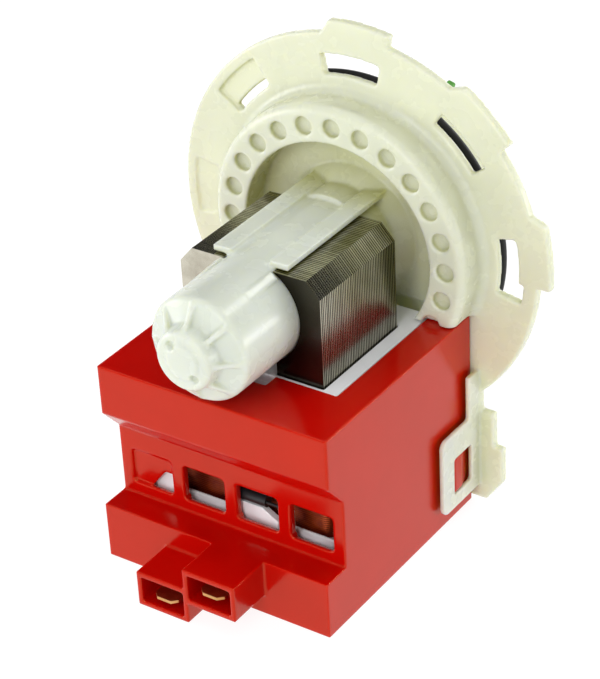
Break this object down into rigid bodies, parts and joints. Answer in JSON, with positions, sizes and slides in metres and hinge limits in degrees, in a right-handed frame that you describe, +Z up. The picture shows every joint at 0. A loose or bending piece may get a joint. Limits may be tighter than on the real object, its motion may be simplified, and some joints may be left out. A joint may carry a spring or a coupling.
{
  "type": "washer drain pump",
  "caption": "Washer drain pump: red coil housing with a laminated core, white bayonet flange with a rotor can, sealing ring, and an impeller with free play on its shaft.",
  "frame": {"origin": "on the pump axis, in the flange face that seats on the pump housing", "axes": "+Y along the pump axis towards the impeller, +Z up away from the coil housing, +X to the right seen from the nose"},
  "size_m": [0.097, 0.1028, 0.1141],
  "materials": {
    "white_plastic": "natural white moulded plastic with a soft sheen",
    "red_plastic": "satin red moulded plastic",
    "core_steel": "bare punched laminations",
    "bobbin_plastic": "white moulded plastic",
    "copper_wire": "lacquered copper wire",
    "fuse_black": "black moulded fuse body",
    "lead_white": "wire insulation",
    "terminal_brass": "plain brass blade",
    "black_rubber": "black rubber",
    "bush_bronze": "sintered bronze",
    "plate_grey": "grey moulded plastic",
    "shaft_steel": "ground steel",
    "hub_plastic": "moulded plastic",
    "magnet_dark": "sintered ferrite",
    "washer_plastic": "plain thrust washer",
    "impeller_green": "green moulded plastic"
  },
  "bodies": {
    "pump": {"pump_body": "white_plastic", "flange_seal_ring": "black_rubber", "coil_housing": "red_plastic", "stator_core": "core_steel", "bobbin_left": "bobbin_plastic", "bobbin_right": "bobbin_plastic", "winding_left": "copper_wire", "winding_right": "copper_wire", "thermal_fuse": "fuse_black", "lead_left": "lead_white", "lead_right": "lead_white", "coil_link": "copper_wire", "terminal_left": "terminal_brass", "terminal_right": "terminal_brass", "front_bush": "bush_bronze", "front_bush_sleeve": "black_rubber", "bearing_plate": "plate_grey", "bearing_plate_seal": "black_rubber", "rear_bush": "bush_bronze", "shaft_seal": "black_rubber"},
    "rotor": {"rotor_shaft": "shaft_steel", "magnet_hub": "hub_plastic", "rotor_magnet": "magnet_dark", "front_thrust_washer": "washer_plastic", "rear_thrust_washer": "washer_plastic", "drive_dog": "hub_plastic"},
    "impeller_group": {"impeller": "impeller_green", "impeller_cap": "impeller_green", "dog_buffers": "black_rubber"}
  },
  "joints": [
    {"name": "rotor_spin", "type": "hinge", "parent": "pump", "child": "rotor", "pos_m": [0, 0, 0], "axis": [0, 1, 0], "continuous": true},
    {"name": "impeller_play", "type": "hinge", "parent": "rotor", "child": "impeller_group", "pos_m": [0, 0.012, 0], "axis": [0, 1, 0], "range_deg": [-96, 96]}
  ]
}
